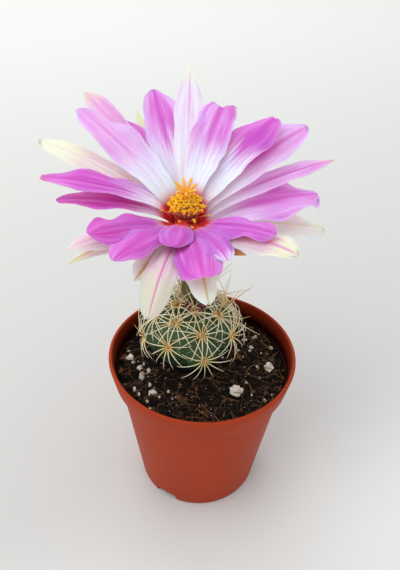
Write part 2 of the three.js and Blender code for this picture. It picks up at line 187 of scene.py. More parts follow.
def smooth(mesh, sharp=None):
    """Smooth shading, with the edges past an angle in degrees kept sharp."""
    mesh.polygons.foreach_set("use_smooth", [True] * len(mesh.polygons))
    if sharp is not None:
        mesh.set_sharp_from_angle(angle=math.radians(sharp))


def piece(name, shape, material, replaces=(), sharp=None):
    """A mesh object of a shape; it rides on the body and may replace nodes."""
    made = mesh_object(name, np.concatenate(shape.points), shape.faces)
    for number, values in shape.numbers.items():
        field = made.data.attributes.new(number, "FLOAT", "POINT")
        field.data.foreach_set("value", np.concatenate(values).astype(np.float32))
    smooth(made.data, sharp)
    made.data.materials.append(material)
    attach(made, BODY)
    if replaces:
        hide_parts(*replaces)
    return made


def unit(v):
    v = np.asarray(v, float)
    return v / np.linalg.norm(v, axis=-1, keepdims=True)


def spoke(angle):
    """The level unit vector at an angle in radians."""
    return np.array([math.cos(angle), math.sin(angle), 0])


def round_angles(count):
    return np.arange(count) * 2 * math.pi / count


def turned(profile, segments):
    """A closed turned piece from (radius, height) points that start and end on the axis."""
    inner = profile[1:-1]
    points = [[r * math.cos(a), r * math.sin(a), z] for r, z in inner for a in round_angles(segments)]
    faces = grid_faces(len(inner), segments, wrap=True)
    bottom, top = len(points), len(points) + 1
    points += [[0, 0, profile[0][1]], [0, 0, profile[-1][1]]]
    last = (len(inner) - 1) * segments
    for i in range(segments):
        j = (i + 1) % segments
        faces += [[bottom, j, i], [top, last + i, last + j]]
    return points, faces


def ball(rows, columns):
    """Unit rays to the points of a closed ball, its two poles last, and its faces."""
    rays = [[math.sin(a) * math.cos(b), math.sin(a) * math.sin(b), math.cos(a)]
            for a in np.linspace(0, math.pi, rows + 1)[1:-1] for b in round_angles(columns)]
    faces = grid_faces(rows - 1, columns, wrap=True, flip=True)
    top, bottom = len(rays), len(rays) + 1
    last = (rows - 2) * columns
    for i in range(columns):
        j = (i + 1) % columns
        faces += [[top, i, j], [bottom, last + j, last + i]]
    return np.array(rays + [[0, 0, 1], [0, 0, -1]]), faces


def strand(shape, path, radii, sides=6, **numbers):
    """Adds a closed round strand along a path, with a radius at each of its points."""
    path = np.asarray(path, float)
    n = len(path)
    radii = np.broadcast_to(np.asarray(radii, float), (n,))
    along = unit(np.gradient(path, axis=0))
    side = unit(np.cross(along[0], [0.31, 0.52, 0.79]))
    points = []
    turns = round_angles(sides)
    for i in range(n):
        side = unit(side - along[i] * side.dot(along[i]))
        other = np.cross(along[i], side)
        ring = np.outer(np.cos(turns), side) + np.outer(np.sin(turns), other)
        points.append(path[i] + ring * radii[i])
    faces = grid_faces(n, sides, wrap=True)
    faces.append(list(range(sides))[::-1])
    faces.append(list(range((n - 1) * sides, n * sides)))
    spread = {name: np.repeat(np.broadcast_to(np.asarray(values, float), (n,)), sides)
              for name, values in numbers.items()}
    shape.add(np.concatenate(points), faces, **spread)


def lump(shape, centre, radii, rows, columns, rough, seed, turn=None, **numbers):
    """Adds a closed rounded lump; rough dents its surface and turn is a rotation matrix."""
    rays, faces = ball(rows, columns)
    dents = [noise.noise(Vector(ray * 1.7) + Vector((seed, seed * 2, 0))) for ray in rays]
    points = rays * (1 + rough * np.array(dents))[:, None] * np.asarray(radii, float)
    if turn is not None:
        points = points @ np.array(turn).T
    return shape.add(points + np.asarray(centre, float), faces, **numbers)


def random_turn():
    """A random rotation as a 3 by 3 matrix."""
    angles = [draw.uniform(0, 2 * math.pi) for _ in range(3)]
    turns = [Matrix.Rotation(a, 3, axis) for a, axis in zip(angles, "XYZ")]
    return turns[0] @ turns[1] @ turns[2]


# ---- materials ----
MIX_FIRST, MIX_SECOND, MIX_RESULT = 6, 7, 2  # a colour Mix node's own sockets


def rgb(code):
    """A hex colour as linear light."""
    parts = [int(code[i:i + 2], 16) / 255 for i in (1, 3, 5)]
    return tuple(c / 12.92 if c <= 0.04045 else ((c + 0.055) / 1.055) ** 2.4 for c in parts) + (1,)


class Look:
    """A node material; most methods add a node and return the socket that it gives."""

    def __init__(self, name, roughness, **settings):
        self.material = bpy.data.materials.new(name)
        self.material.use_nodes = True
        self.nodes = self.material.node_tree.nodes
        self.set("Roughness", roughness)
        for key, value in settings.items():
            self.set(key.replace("_", " ").title().replace("Ior", "IOR"), value)

    def put(self, node, socket, value):
        """Links a socket to a node's input, or gives the input a number or a hex colour."""
        target = node.inputs[socket]
        if hasattr(value, "links"):
            self.material.node_tree.links.new(value, target)
        else:
            target.default_value = rgb(value) if isinstance(value, str) else value

    def set(self, socket, value):
        """Puts a value on the shader itself."""
        self.put(self.nodes["Principled BSDF"], socket, value)

    def node(self, kind, inputs, output=0, **properties):
        made = self.nodes.new("ShaderNode" + kind)
        for key, value in properties.items():
            setattr(made, key, value)
        for socket, value in inputs.items():
            self.put(made, socket, value)
        return made.outputs[output]

    def number(self, name):
        """A number that the mesh holds at each point."""
        return self.node("Attribute", {}, "Fac", attribute_name=name)

    def place(self):
        return self.node("TexCoord", {}, "Object")

    def parts(self):
        """The place's x, y and z."""
        node = self.nodes.new("ShaderNodeSeparateXYZ")
        self.put(node, "Vector", self.place())
        return tuple(node.outputs)

    def radius(self):
        """Distance from the pot's axis."""
        x, y, _ = self.parts()
        return self.math("SQRT", self.plus(self.times(x, x), self.times(y, y)))

    def vector(self, x, y, z):
        return self.node("CombineXYZ", {"X": x, "Y": y, "Z": z})

    def noise(self, scale, detail=4.0, rough=0.55, where=None):
        where = self.place() if where is None else where
        return self.node("TexNoise", {"Vector": where, "Scale": scale, "Detail": detail,
                                      "Roughness": rough}, "Fac")

    def cells(self, scale):
        return self.node("TexVoronoi", {"Vector": self.place(), "Scale": scale}, "Distance")

    def math(self, kind, a, b=0.0, clamp=False):
        return self.node("Math", {0: a, 1: b}, operation=kind, use_clamp=clamp)

    def times(self, a, b, clamp=False):
        return self.math("MULTIPLY", a, b, clamp)

    def plus(self, a, b):
        return self.math("ADD", a, b)

    def ramp(self, factor, *stops):
        """A colour ramp through (position, hex colour) stops."""
        node = self.nodes.new("ShaderNodeValToRGB")
        self.put(node, "Fac", factor)
        elements = node.color_ramp.elements
        while len(elements) < len(stops):
            elements.new(0.5)
        for element, (position, _) in zip(elements, stops):
            element.position = position
        for element, (_, code) in zip(elements, stops):
            element.color = rgb(code)
        return node.outputs["Color"]

    def span(self, value, low, high, out_low=0.0, out_high=1.0):
        """Eases from out_low to out_high while a value goes from low to high."""
        return self.node("MapRange", {"Value": value, "From Min": low, "From Max": high,
                                      "To Min": out_low, "To Max": out_high}, "Result",
                         interpolation_type="SMOOTHSTEP")

    def mix(self, factor, a, b):
        """Goes from colour a to colour b with a factor."""
        return self.node("Mix", {0: factor, MIX_FIRST: a, MIX_SECOND: b}, MIX_RESULT,
                         data_type="RGBA")

    def bumped(self, height, distance_mm, strength=1.0):
        """Bumps the surface and gives the finished material."""
        self.set("Normal", self.node("Bump", {"Height": height, "Distance": distance_mm * MM,
                                              "Strength": strength}))
        return self.material


def grained_look(name, roughness, grain, stops, depth, **settings):
    """A look with one noise in its colour and its bump; grain is scale, detail and roughness."""
    look = Look(name, roughness, **settings)
    pattern = look.noise(*grain)
    look.set("Base Color", look.ramp(pattern, *stops))
    return look.bumped(pattern, depth)


def two_tone_look(name, roughness, grain, number, first, second, depth, **settings):
    """A grained look that goes from its first stops to its second with a number of the mesh."""
    look = Look(name, roughness, **settings)
    pattern = look.noise(*grain)
    tones = look.ramp(pattern, *first), look.ramp(pattern, *second)
    look.set("Base Color", look.mix(look.number(number), *tones))
    return look.bumped(pattern, depth)


def bark_look():
    return two_tone_look("bark_chips", 0.85, (900, 5, 0.65), "shade",
                         ((0.3, "#0f0704"), (0.7, "#331d11")), ((0.3, "#4a2a18"), (0.7, "#8e5f3a")),
                         0.2, specular_ior_level=0.3)


def fibre_look():
    return two_tone_look("coir_fibres", 0.8, (1500, 3), "shade",
                         ((0.3, "#170c06"), (0.7, "#382112")), ((0.3, "#6e4524"), (0.7, "#b0814c")),
                         0.05, specular_ior_level=0.3)


def wool_look():
    return two_tone_look("areole_wool", 0.95, (3200, 4, 0.7), "core",
                         ((0.3, "#c3a874"), (0.6, "#efe3c2")), ((0.3, "#8a5526"), (0.6, "#c98e45")),
                         0.15, sheen_weight=0.4)


def throat_look():
    return grained_look("throat", 0.4, (900, 3), ((0.3, "#b00a10"), (0.7, "#e0121c")), 0.05,
                        specular_ior_level=0.4)


def anther_look():
    return grained_look("anthers", 0.75, (5000, 3),
                        ((0.3, "#f6a800"), (0.5, "#ffc80c"), (0.8, "#ffe03a")), 0.08)


def pot_look():
    """Satin terracotta plastic, with deep shade painted on the inside wall above the mix."""
    look = Look("terracotta_plastic", 0.5, specular_ior_level=0.1)
    cloud = look.noise(60, 3)
    tint = look.ramp(cloud, (0.3, "#9f3718"), (0.7, "#a83d1d"))
    _, _, z = look.parts()
    slope = (lip_middle - LIP_RADIUS - shoulder_radius - COLLAR_STEP + POT_WALL) / COLLAR_HEIGHT
    wall_middle = look.plus(look.times(z, slope),
                            (lip_middle - LIP_RADIUS + POT_WALL / 2 - pot_top * slope) * MM)
    # painted shade: the inside wall above the mix goes near black, most just over the mix and less up to
    # the lip
    inside = look.times(look.math("LESS_THAN", look.radius(), wall_middle),
                        look.math("GREATER_THAN", z, (soil_top - 0.7) * MM))
    painted_inner_shade = look.span(z, soil_top * MM, (pot_top - LIP_RADIUS) * MM, 1, 0.35)
    look.set("Base Color", look.mix(look.times(inside, painted_inner_shade), tint, "#180302"))
    look.set("Roughness", look.span(cloud, 0.3, 0.7, 0.44, 0.54))
    return look.bumped(look.noise(2400, 2), 0.02, 0.5)


def soil_look():
    """Dark potting mix, with shade painted darker still along the pot's wall."""
    look = Look("potting_mix", 0.95, specular_ior_level=0.2)
    coarse = look.noise(420, 6, 0.7)
    fine = look.noise(2600, 4, 0.7)
    tint = look.ramp(coarse, (0.3, "#060302"), (0.52, "#120a06"), (0.66, "#2c1a10"), (0.8, "#4a2e1b"))
    # painted shade: the mix goes near black along the pot's wall, where the rim's shadow falls
    wall = inside_radius(soil_top) * MM
    painted_wall_shade = look.span(look.radius(), wall - 3 * MM, wall - 0.5 * MM, 0, 0.85)
    tint = look.mix(look.span(fine, 0.35, 0.7), tint, "#090503")
    look.set("Base Color", look.mix(painted_wall_shade, tint, "#040201"))
    return look.bumped(look.plus(coarse, fine), 0.5)


def perlite_look():
    look = Look("perlite", 0.9, specular_ior_level=0.3)
    pits = look.noise(1600, 5, 0.7)
    white = look.ramp(pits, (0.3, "#b9a996"), (0.5, "#e6ddd0"), (0.75, "#f6f1e8"))
    look.set("Base Color", look.mix(look.span(look.noise(500, 3), 0.5, 0.72), white, "#8d7358"))
    return look.bumped(pits, 0.3)


def stem_look():
    """Green skin with shade painted dark in the furrows and near the top, under the flower, and freckled
    pale.
    """
    look = Look("stem_skin", 0.5, specular_ior_level=0.4, subsurface_weight=0.08,
                subsurface_scale=1.0 * MM)
    freckle = look.noise(1500, 3)
    skin = look.ramp(look.noise(130, 4), (0.3, "#2c4a22"), (0.5, "#42682f"), (0.7, "#5f8a45"))
    _, _, z = look.parts()
    # painted shade: the skin goes dark between the knobs, and more so higher up, under the flower
    low = look.span(z, (soil_top + 4) * MM, (soil_top + 15) * MM, 1, 0.45)
    furrow = look.mix(look.times(look.span(look.number("knob"), 0.0, 0.75), low), "#14271a", skin)
    look.set("Base Color", look.mix(look.span(freckle, 0.52, 0.75, 0, 0.6), furrow, "#86a873"))
    look.set("Roughness", look.span(freckle, 0.3, 0.7, 0.42, 0.62))
    return look.bumped(look.plus(freckle, look.cells(900)), 0.12)


def spine_look():
    look = Look("spines", 0.45, specular_ior_level=0.4)
    along = look.number("along")
    streak = look.noise(1200, 2)
    pale = look.ramp(along, (0.0, "#c07a22"), (0.07, "#deac4c"), (0.18, "#f0dfa4"),
                     (0.6, "#f8f1d6"), (1.0, "#f4e8c0"))
    brown = look.ramp(along, (0.0, "#9a6226"), (0.3, "#c99650"), (0.8, "#e2c184"), (1.0, "#b07c3e"))
    tint = look.mix(look.number("tan"), pale, brown)
    look.set("Base Color", look.mix(look.span(streak, 0.6, 0.8, 0, 0.35), tint, "#fff8e6"))
    return look.bumped(streak, 0.02)


def tube_look():
    look = Look("tube_and_scales", 0.6, subsurface_weight=0.1, subsurface_scale=0.8 * MM)
    vein = look.noise(900, 4)
    green = look.ramp(look.number("up"), (0.0, "#4b3d1e"), (0.3, "#5f6228"), (0.7, "#868540"),
                      (0.88, "#a3994f"), (0.93, "#b8141a"))
    shaded = look.mix(look.span(vein, 0.4, 0.7, 0, 0.5), green, "#4a4a1f")
    look.set("Base Color", look.mix(look.span(look.number("edge"), 0.6, 1.0), shaded, "#a98f52"))
    return look.bumped(vein, 0.1)


def bud_look():
    look = Look("young_buds", 0.5)
    flow = look.noise(700, 4)
    red = look.ramp(flow, (0.3, "#3a0b10"), (0.7, "#7a1f26"))
    look.set("Base Color", look.mix(look.span(look.number("up"), 0.55, 1.0), red, "#a8604a"))
    return look.bumped(flow, 0.1)


def filament_look():
    look = Look("filaments", 0.5, subsurface_weight=0.1, subsurface_scale=0.3 * MM)
    tint = look.ramp(look.number("along"), (0.0, "#c21820"), (0.35, "#e07a5a"), (0.6, "#f3b8a0"),
                     (1.0, "#f6d58a"))
    streak = look.span(look.noise(2500, 2), 0.5, 0.8, 0, 0.3)
    look.set("Base Color", look.mix(streak, tint, "#fff0d8"))
    return look.material


def stigma_look():
    look = Look("stigma", 0.55, subsurface_weight=0.15, subsurface_scale=0.4 * MM)
    fuzz = look.noise(4000, 4)
    tint = look.ramp(look.number("along"), (0.0, "#e8801a"), (0.4, "#f29a18"), (0.6, "#f5b024"),
                     (1.0, "#f8c840"))
    look.set("Base Color", look.mix(look.span(fuzz, 0.45, 0.75, 0, 0.5), tint, "#f7df84"))
    return look.bumped(fuzz, 0.06)


def petal_look(name, main, deep, pale, tip, white_to, tip_from, rib, rib_colour, under, red_to):
    """Petal colours: scarlet to red_to mm from the axis, white to the share white_to, main, tip.

    deep is the colour of the broad flames, pale that of the veins and edges, and rib_colour that
    of the midrib. The underside goes towards the colour under.
    """
    look = Look(name, 0.5, specular_ior_level=0.3, subsurface_weight=0.6,
                subsurface_scale=2.5 * MM, sheen_weight=0.1)
    across, reach, seed = look.number("across"), look.number("reach"), look.number("seed")
    flank = look.math("ABSOLUTE", across)
    veins = look.noise(1.0, 5, 0.6, look.vector(look.times(across, 9.0), look.times(reach, 0.09), seed))
    broad = look.noise(1.0, 3, 0.5, look.vector(look.times(across, 2.2), look.times(reach, 0.05), seed))
    wander = look.plus(look.number("along"), look.times(look.math("SUBTRACT", veins, 0.5), 0.5))
    body = look.mix(look.span(broad, 0.35, 0.65), main, deep)
    body = look.mix(look.span(veins, 0.5, 0.72, 0, 0.75), body, pale)
    body = look.mix(look.span(flank, 0.75, 1.0, 0, 0.35), body, pale)
    white = look.mix(look.span(veins, 0.42, 0.7, 0, 0.3), "#fbf1fa", main)
    tinted = look.mix(look.span(wander, white_to - 0.22, white_to + 0.2), white, body)
    tipped = look.mix(look.span(wander, tip_from, tip_from + 0.18), tinted, tip)
    rib_line = look.times(look.span(flank, 0.0, rib, 0.8, 0),
                          look.span(wander, white_to - 0.12, white_to + 0.2), clamp=True)
    ribbed = look.mix(rib_line, tipped, rib_colour)
    below, out = look.number("under"), look.number("out")
    above = look.math("SUBTRACT", 1.0, below)
    shaded = look.mix(look.times(below, 0.55), ribbed, under)
    flush = look.times(above, look.span(out, red_to, red_to + 2.5, 0.6, 0))
    scarlet = look.times(above, look.span(out, red_to - 0.9, red_to + 0.9, 1, 0))
    blush = look.mix(flush, shaded, "#f08fa0")
    look.set("Base Color", look.mix(scarlet, blush, "#e00b12"))
    look.set("Roughness", look.span(veins, 0.3, 0.7, 0.42, 0.6))
    return look.bumped(veins, 0.12, 0.6)


# ---- pot ----
pot_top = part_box("pot")[1].z / MM
rim_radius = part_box("pot")[1].x / MM
shoulder_radius = rim_radius - COLLAR_FLARE - COLLAR_STEP
shoulder_height = pot_top - COLLAR_HEIGHT
lip_middle = rim_radius - LIP_RADIUS
soil_top = pot_top - SOIL_DEPTH_BELOW_RIM
stem_centre = np.array([*STEM_PLACE, soil_top + STEM_RISE])


def wall_radius(z):
    """Outside of the pot under its collar."""
    return FOOT_RADIUS + (shoulder_radius - FOOT_RADIUS) * z / shoulder_height


def inside_radius(z, offset=0.0):
    """Inside of the pot, less an offset."""
    collar_foot = shoulder_height + LEDGE_RISE + POT_WALL
    if z < collar_foot - LEDGE_RISE:
        return wall_radius(z) - POT_WALL - offset
    share = (z - collar_foot) / (pot_top - LIP_RADIUS - collar_foot)
    low = shoulder_radius + COLLAR_STEP - POT_WALL
    return low + (lip_middle - LIP_RADIUS - low) * share - offset


def block(azimuth, inner, outer, width, low, high):
    """A box that points away from the pot's axis."""
    a = math.radians(azimuth)
    out, side = spoke(a), np.array([-math.sin(a), math.cos(a), 0])
    points = [out * r + side * w + np.array([0, 0, z])
              for r in (inner, outer) for w in (-width / 2, width / 2) for z in (low, high)]
    faces = [[0, 1, 3, 2], [4, 6, 7, 5], [0, 4, 5, 1], [2, 3, 7, 6], [0, 2, 6, 4], [1, 5, 7, 3]]
    return points, faces


def drain(azimuth):
    """A round bar through the pot's floor."""
    points, faces = turned([(0, -1), (DRAIN_RADIUS, -1), (DRAIN_RADIUS, 5), (0, 5)], 32)
    return np.array(points) + (FOOT_RADIUS - DRAIN_INSET) * spoke(math.radians(azimuth)), faces


def pot_profile():
    """The pot's wall in (radius, height) points: up the outside, over the lip, down the inside."""
    profile = [(0, 0), (FOOT_RADIUS - 0.6, 0), (FOOT_RADIUS - 0.2, 0.12), (wall_radius(0.55), 0.55)]
    profile += [(wall_radius(z), z) for z in (1.5, 8, 16, 24, 32, 38)]
    low = wall_radius(shoulder_height - STEP_RISE / 2)
    steps = 8
    for step in range(steps + 1):
        share = step / steps
        eased = share * share * (3 - 2 * share)
        profile.append((low + (shoulder_radius + COLLAR_STEP - low) * eased,
                        shoulder_height + STEP_RISE * (share - 0.4)))
    for step in range(steps + 1):
        a = math.pi * step / steps
        profile.append((lip_middle + LIP_RADIUS * math.cos(a),
                        pot_top - LIP_RADIUS + LIP_RADIUS * math.sin(a)))
    ledge = shoulder_height + POT_WALL
    heights = (47, 44.5, ledge + LEDGE_RISE, ledge - 0.01, 30, 20, 10, POT_FLOOR)
    return profile + [(inside_radius(z), z) for z in heights] + [(0, POT_FLOOR)]


def make_pot():
    pot = piece("pot_shell", Shape().add(*turned(pot_profile(), 160)), pot_look(),
                ["pot"])
    tools = [("UNION", block(azimuth, FOOT_RADIUS - CHANNEL_LENGTH - POT_WALL,
                             wall_radius(0) - POT_WALL / 2, CHANNEL_WIDTH + 2 * POT_WALL,
                             POT_FLOOR / 2, CHANNEL_HEIGHT + POT_WALL))
             for azimuth in CHANNEL_AZIMUTHS]
    for azimuth in CHANNEL_AZIMUTHS:
        channel = block(azimuth, FOOT_RADIUS - CHANNEL_LENGTH, FOOT_RADIUS * 2, CHANNEL_WIDTH,
                        -CHANNEL_HEIGHT, CHANNEL_HEIGHT)
        notch = block(azimuth, wall_radius(0) - POT_WALL * 1.5, FOOT_RADIUS * 2,
                      CHANNEL_WIDTH * 0.9, 0, CHANNEL_HEIGHT + NOTCH_RISE)
        tools += [("DIFFERENCE", tool) for tool in (channel, notch, drain(azimuth))]
    for kind, (points, faces) in tools:
        tool = mesh_object("cutter", points, faces)
        cut = pot.modifiers.new(kind, "BOOLEAN")
        cut.operation, cut.object, cut.solver = kind, tool, "EXACT"
        bpy.context.view_layer.update()
        depsgraph = bpy.context.evaluated_depsgraph_get()
        mesh = bpy.data.meshes.new_from_object(pot.evaluated_get(depsgraph))
        pot.modifiers.clear()
        pot.data = mesh
        bpy.data.objects.remove(tool)
    smooth(pot.data, sharp=38)


# ---- potting mix ----
def from_stem(x, y):
    return math.hypot(x - STEM_PLACE[0], y - STEM_PLACE[1])


def soil_height(x, y):
    """Lumpy top of the mix, heaped a little against the stem and low along the wall."""
    lumps = 1.1 * noise.fractal(Vector((x * 0.16, y * 0.16, 3.0)), 0.8, 2.0, 4)
    crumbs = 0.45 * noise.noise(Vector((x * 0.9, y * 0.9, 8.0)))
    heap = 0.8 * math.exp(-((from_stem(x, y) - 11) / 4) ** 2)
    from_wall = inside_radius(soil_top) - math.hypot(x, y)
    dip = 1.4 * max(0.0, 1 - from_wall / 3) ** 1.5
    return soil_top + lumps + crumbs + heap - dip


def make_soil():
    segments, rings = 170, 74
    edge = inside_radius(soil_top, 0.05)
    bottom = POT_FLOOR + CHANNEL_HEIGHT + POT_WALL
    profile = [(0, bottom)]
    profile += [(inside_radius(z, FIT_GAP), z)
                for z in (bottom, shoulder_height - 1, shoulder_height + 2)]
    profile += [(edge * (1 - i / rings), soil_top) for i in range(rings)]
    profile += [(0, soil_top)]
    points, faces = turned(profile, segments)
    points = np.array(points)
    for p in points:
        if p[2] > soil_top - 0.01:
            p[2] = soil_height(p[0], p[1])
    piece("mix_body", Shape().add(points, faces), soil_look(), ["soil"])


def scatter(count, spread=1.0):
    """Seeded places on the mix, outside the stem: x, y and height."""
    places = []
    while len(places) < count:
        r = math.sqrt(draw.random()) * inside_radius(soil_top, 1.2) * spread
        a = draw.uniform(0, 2 * math.pi)
        x, y = r * math.cos(a), r * math.sin(a)
        if from_stem(x, y) > STEM_CLEARANCE:
            places.append((x, y, soil_height(x, y)))
    return places


def make_bark():
    shape = Shape()
    for x, y, z in scatter(BARK_CHIPS):
        size = draw.uniform(0.3, 1.0) if draw.random() < 0.95 else draw.uniform(1.1, 1.8)
        radii = (size, size * draw.uniform(0.35, 0.7), size * draw.uniform(0.15, 0.35))
        tilt = Matrix.Rotation(draw.uniform(-0.5, 0.5), 3, "X")
        turn = Matrix.Rotation(draw.uniform(0, 6.3), 3, "Z") @ tilt
        lump(shape, (x, y, z + radii[2] * 0.3), radii, 6, 7, 0.9, draw.uniform(0, 50), turn,
             shade=draw.random() ** 2.2)
    piece("bark_chips", shape, bark_look(), sharp=35)


def make_fibres():
    shape = Shape()
    steps = 8
    for x, y, z in scatter(FIBRES, 0.98):
        length = draw.uniform(1.8, 9.0)
        heading, bend = draw.uniform(0, 6.3), draw.uniform(-1.6, 1.6)
        lift = draw.uniform(0.0, 0.5)
        path = []
        for i in range(steps + 1):
            t = i / steps
            a = heading + bend * t
            x += length / steps * math.cos(a)
            y += length / steps * math.sin(a)
            at_wall = math.hypot(x, y) > inside_radius(soil_top, 0.5)
            if at_wall or from_stem(x, y) < STEM_CLEARANCE + 0.2:
                break
            hump = lift * math.sin(math.pi * t) * 1.6
            path.append((x, y, soil_height(x, y) + 0.12 + hump))
        if len(path) > 3:
            radius = draw.uniform(0.05, 0.13)
            taper = radius * np.linspace(1, 0.5, len(path))
            strand(shape, path, taper, 5, shade=draw.random() ** 1.8)
    piece("coir_fibres", shape, fibre_look())


def make_perlite():
    """The frame's four grains, and smaller crumbs, of which more lie on the left."""
    material = perlite_look()
    for number in range(1, 5):
        node = f"perlite_grain_{number}"
        low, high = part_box(node)
        middle = (low + high) / 2 / MM
        half = (high - low) / 2 / MM
        centre = (middle.x, middle.y, soil_height(middle.x, middle.y) + half.z * 0.55)
        shape = lump(Shape(), centre, half * 0.88, 22, 28, 0.5, number * 7.3)
        piece(f"grain_{number}", shape, material, [node])
    shape = Shape()
    crumbs = [(place, 0.14 + 0.6 * draw.random() ** 4.5) for place in scatter(SMALL_CRUMBS, 0.96)]
    left = [place for place in scatter(LEFT_TRIES, 0.95)
            if place[0] < LEFT_EDGE and place[1] < LEFT_BACK]
    crumbs += [(place, draw.uniform(0.45, 0.85)) for place in left[:LEFT_CRUMBS]]
    crumbs += [(place, draw.uniform(0.4, 0.7)) for place in scatter(OTHER_CRUMBS, 0.95)]
    for (x, y, z), size in crumbs:
        radii = (size, size * draw.uniform(0.7, 1.0), size * draw.uniform(0.5, 0.9))
        rows, columns = (10, 12) if size > 0.35 else (5, 6)
        lump(shape, (x, y, z + size * 0.35), radii, rows, columns, 0.7, draw.uniform(0, 50),
             random_turn())
    piece("perlite_crumbs", shape, material)


# ---- stem ----
areoles = []
for rib in range(4):
    areoles += [(FIRST_RIB + rib * RIB_TURN, level) for level in RIB_LEVELS]
    areoles += [(FIRST_RIB + (rib + 0.5) * RIB_TURN, level) for level in BETWEEN_LEVELS]


def stem_direction(azimuth, level):
    """Unit ray at an azimuth and so many degrees down from the crown."""
    a, b = math.radians(azimuth), math.radians(level)
    return np.array([math.sin(b) * math.cos(a), math.sin(b) * math.sin(a), math.cos(b)])


areole_directions = np.array([stem_direction(*areole) for areole in areoles])


def stem_points(rays):
    """Skin of the stem along unit rays, and how far up a knob each point is, 0 to 1."""
    angles = np.arccos(np.clip(rays @ areole_directions.T, -1, 1))
    knob = np.exp(-(angles / KNOB_ANGLE) ** 2).sum(1)
    sink = 1.3 * np.exp(-(np.arccos(np.clip(rays[:, 2], -1, 1)) / 0.36) ** 2)
    furrow = 0.5 * np.clip((angles.min(1) - 0.3) / 0.25, 0, 1)
    raised = KNOB_HEIGHT * knob - sink - furrow
    scale = np.stack([STEM_HALF_WIDTH + raised] * 2 + [STEM_HALF_HEIGHT + raised], 1)
    return rays * scale + stem_centre, np.clip(knob, 0, 1)


def make_stem():
    rays, faces = ball(110, 170)
    points, knob = stem_points(rays)
    shape = Shape().add(points, faces, knob=knob)
    piece("stem_globe", shape, stem_look(), ["cactus_stem"])


def spine_path(seat, normal, flat, length, lift, end_lift, sway):
    """A spine that leaves at lift above the skin and bends to end_lift, in radians."""
    steps = 8
    side = np.cross(normal, flat)
    path = [seat]
    for i in range(steps):
        t = (i + 0.5) / steps
        a = lift + (end_lift - lift) * t
        course = math.cos(a) * (flat + side * sway * t) + math.sin(a) * normal
        path.append(path[-1] + unit(course) * length / steps)
    return np.array(path)


def spine(shape, path, end, tan):
    """Adds a spine that tapers to a share of its radius; tan browns it."""
    share = np.linspace(0, 1, len(path))
    taper = np.linspace(1, end, len(path)) ** 0.8
    strand(shape, path, SPINE_RADIUS * taper, 6, along=share, tan=tan)


def make_spines():
    """A star of pale radial spines and some longer tan ones on each areole, and its wool."""
    material, wool = spine_look(), wool_look()
    globe = np.array([STEM_HALF_WIDTH, STEM_HALF_WIDTH, STEM_HALF_HEIGHT])
    for index, (azimuth, level) in enumerate(areoles):
        ray = areole_directions[index]
        seat = stem_points(ray[None])[0][0]
        normal = unit(ray / globe)
        up = unit(np.array([0, 0, 1.0]) - normal * normal[2])
        side = np.cross(normal, up)
        large = level < LARGE_LEVELS
        shape = Shape()
        count = 14 if large else 13
        for i in range(count):
            around = (i + draw.uniform(0.3, 0.7)) / count * 2 * math.pi
            flat = up * math.cos(around) + side * math.sin(around)
            upper = 0.5 + 0.5 * math.cos(around)
            length = draw.uniform(6.2, 8.2) * (1 + 0.15 * upper)
            lift = math.radians(draw.uniform(22, 36))
            hug = 14 + 24 * (level / 80) * (1 - upper)
            path = spine_path(seat + normal * 0.2 + flat * 0.3, normal, flat, length, lift,
                              math.radians(draw.uniform(-14, 0) - hug), draw.uniform(-0.16, 0.16))
            spine(shape, path, 0.25, draw.random() ** 4 * 0.5)
        for i in range(3 if large else 1):
            around = draw.uniform(-0.9, 0.9) + (math.pi if i == 2 else 0)
            flat = up * math.cos(around) + side * math.sin(around)
            long = large and -60 < azimuth < 200
            length = draw.uniform(10, 15) if long else draw.uniform(6, 8.5)
            lift = math.radians(draw.uniform(38, 62))
            path = spine_path(seat + normal * 0.2, normal, flat, length, lift,
                              lift - draw.uniform(0.2, 0.6), draw.uniform(-0.2, 0.2))
            spine(shape, path, 0.2, draw.uniform(0.3, 1.0))
        piece(f"spines_{index + 1:02d}", shape, material,
              [f"spine_cluster_{index + 1:02d}"])
        face = np.stack([side, up, normal], 1)
        pad = Shape()
        lump(pad, seat + normal * 0.1, (0.85, 1.0, 0.45), 14, 18, 0.35, index * 3.1, face, core=0)
        lump(pad, seat + normal * 0.3, (0.4, 0.45, 0.42), 10, 12, 0.5, index * 5.7, face, core=1)
        piece(f"areole_{index + 1:02d}", pad, wool)


# ---- flower ----
axis = np.array([0, -math.sin(math.radians(FLOWER_TILT)), math.cos(math.radians(FLOWER_TILT))])
flower_back = np.array([0, axis[2], -axis[1]])
crown = np.array([*STEM_PLACE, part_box("flower_tube")[0].z / MM])
throat = crown + np.array([*THROAT_LEAN, THROAT_RISE])


def from_flower(points):
    """Points of the flower's own frame, whose Z is its axis, in the object's frame."""
    points = np.asarray(points, float)
    return (throat + points[..., 0:1] * np.array([1.0, 0, 0]) + points[..., 1:2] * flower_back
            + points[..., 2:3] * axis)


def tube_path(share):
    """Middle of the tube at a share of its length: a curve to the neck, then straight."""
    neck_foot = throat - axis * NECK_LENGTH
    top = throat - axis * TUBE_TOP_DROP
    bend = 0.62
    if share > bend:
        return neck_foot + (top - neck_foot) * (share - bend) / (1 - bend)
    t = share / bend
    a, b = crown, crown + np.array([0, 0, NECK_LENGTH / 2])
    c, d = neck_foot - axis * NECK_LENGTH / 2, neck_foot
    return (1 - t) ** 3 * a + 3 * (1 - t) ** 2 * t * b + 3 * (1 - t) * t ** 2 * c + t ** 3 * d


def tube_radius(depth):
    """Outside radius at a depth under the throat point."""
    funnel = min(max((NECK_LENGTH - depth) / (NECK_LENGTH - TUBE_TOP_DROP), 0), 1)
    from_crown = TUBE_LENGTH + TUBE_TOP_DROP - depth
    swell = (OVARY_RADIUS - NECK_RADIUS) * math.exp(-((from_crown - 4) / 4) ** 2)
    return NECK_RADIUS + (THROAT_RADIUS - NECK_RADIUS) * funnel + swell


def tube_radius_at(share):
    return tube_radius(TUBE_TOP_DROP + TUBE_LENGTH * (1 - share))


